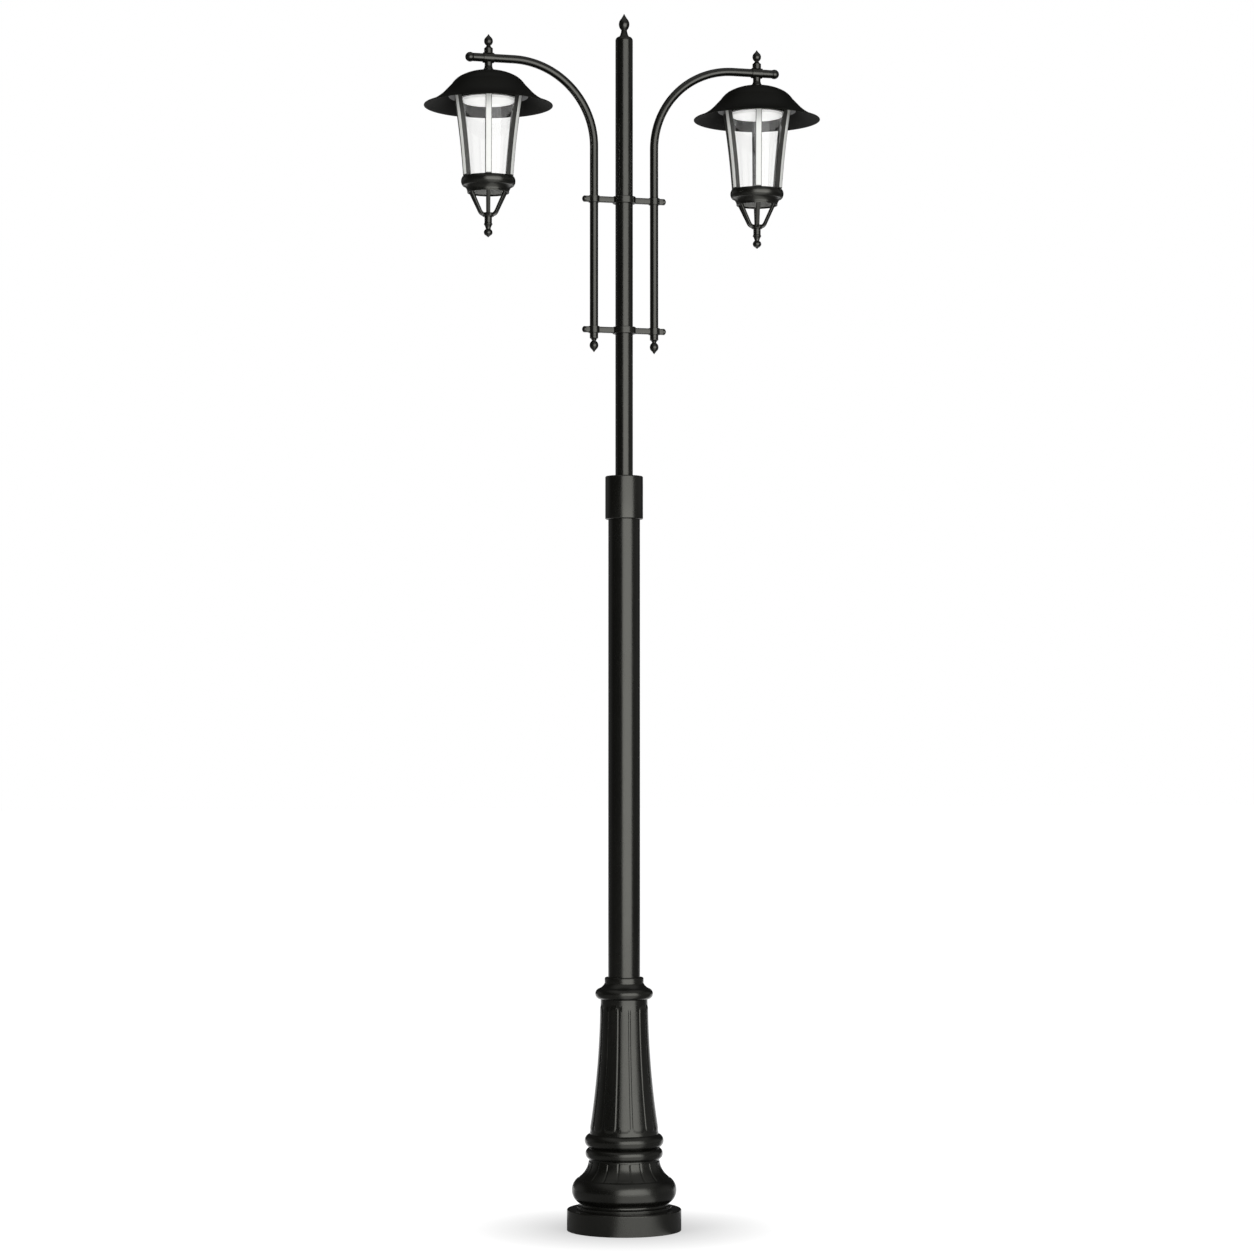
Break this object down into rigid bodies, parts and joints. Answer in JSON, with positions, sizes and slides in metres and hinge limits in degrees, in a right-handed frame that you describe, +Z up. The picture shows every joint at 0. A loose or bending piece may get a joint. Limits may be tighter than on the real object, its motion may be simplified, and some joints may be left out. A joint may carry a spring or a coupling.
{
  "type": "garden lamp post",
  "caption": "Tall garden lamp post: panelled base, plain pole, slim mast, bent arms and hanging glazed lanterns under wide shades.",
  "frame": {"origin": "middle of the foot's underside, on the pole's axis", "axes": "+Z up along the pole, the arms lie along X, the hand hole faces +Y (behind)"},
  "size_m": [0.981, 0.308, 2.92],
  "materials": {
    "black_steel": "satin black powder coat on steel tube",
    "black_cast": "satin black powder coat on cast aluminium",
    "black_iron": "satin black paint on grey iron",
    "black_screws": "blackened steel",
    "zinc_steel": "zinc plated",
    "brass_fitting": "machined brass",
    "grey_plastic": "moulded",
    "white_plastic": "moulded",
    "opal_diffuser": "opal, satin",
    "grey_rubber": "moulded silicone",
    "pale_strip": "satin extrusion",
    "clear_glass": "clear, polished"
  },
  "bodies": {
    "post": {"foot_casting": "black_iron", "lower_pole": "black_steel", "hand_hole_door": "black_steel", "door_screws": "zinc_steel", "terminal_block": "white_plastic", "earth_stud": "brass_fitting", "reducer_collar": "black_cast", "collar_screws": "black_screws", "mast_bush": "grey_plastic"},
    "base_cover": {"base_cover": "black_cast", "cover_screws": "black_screws"},
    "mast": {"mast": "black_steel", "mast_finial": "black_cast", "upper_bracket": "black_cast", "lower_bracket": "black_cast", "bracket_knobs": "black_screws", "left_arm": "black_steel", "left_arm_foot": "black_cast", "left_arm_ball": "black_cast", "left_hanger": "black_cast", "left_hanging_rod": "zinc_steel", "left_hanger_finial": "black_cast", "right_arm": "black_steel", "right_arm_foot": "black_cast", "right_arm_ball": "black_cast", "right_hanger": "black_cast", "right_hanging_rod": "zinc_steel", "right_hanger_finial": "black_cast"},
    "left_lantern": {"left_shade_cap": "black_cast", "left_shade": "black_cast", "left_heat_sink": "black_cast", "left_driver": "grey_plastic", "left_led_board": "white_plastic", "left_diffuser": "opal_diffuser", "left_gasket": "grey_rubber", "left_top_ring": "black_cast", "left_cage_screws": "zinc_steel", "left_cage_ribs": "black_cast", "left_rib_strips": "pale_strip", "left_glass": "clear_glass", "left_lower_ring": "black_cast", "left_basket": "black_cast", "left_drop_finial": "black_cast"},
    "right_lantern": {"right_shade_cap": "black_cast", "right_shade": "black_cast", "right_heat_sink": "black_cast", "right_driver": "grey_plastic", "right_led_board": "white_plastic", "right_diffuser": "opal_diffuser", "right_gasket": "grey_rubber", "right_top_ring": "black_cast", "right_cage_screws": "zinc_steel", "right_cage_ribs": "black_cast", "right_rib_strips": "pale_strip", "right_glass": "clear_glass", "right_lower_ring": "black_cast", "right_basket": "black_cast", "right_drop_finial": "black_cast"}
  },
  "joints": [
    {"name": "cover_lift", "type": "slide", "parent": "post", "child": "base_cover", "axis": [0, 0, 1], "range_m": [0, 1.05]},
    {"name": "mast_turn", "type": "hinge", "parent": "post", "child": "mast", "pos_m": [0, 0, 1.75], "axis": [0, 0, 1], "range_deg": [-180, 180]},
    {"name": "left_lantern_turn", "type": "hinge", "parent": "mast", "child": "left_lantern", "pos_m": [-0.3365, 0, 2.75], "axis": [0, 0, 1], "range_deg": [-180, 180]},
    {"name": "right_lantern_turn", "type": "hinge", "parent": "mast", "child": "right_lantern", "pos_m": [0.3365, 0, 2.75], "axis": [0, 0, 1], "range_deg": [-180, 180]}
  ]
}
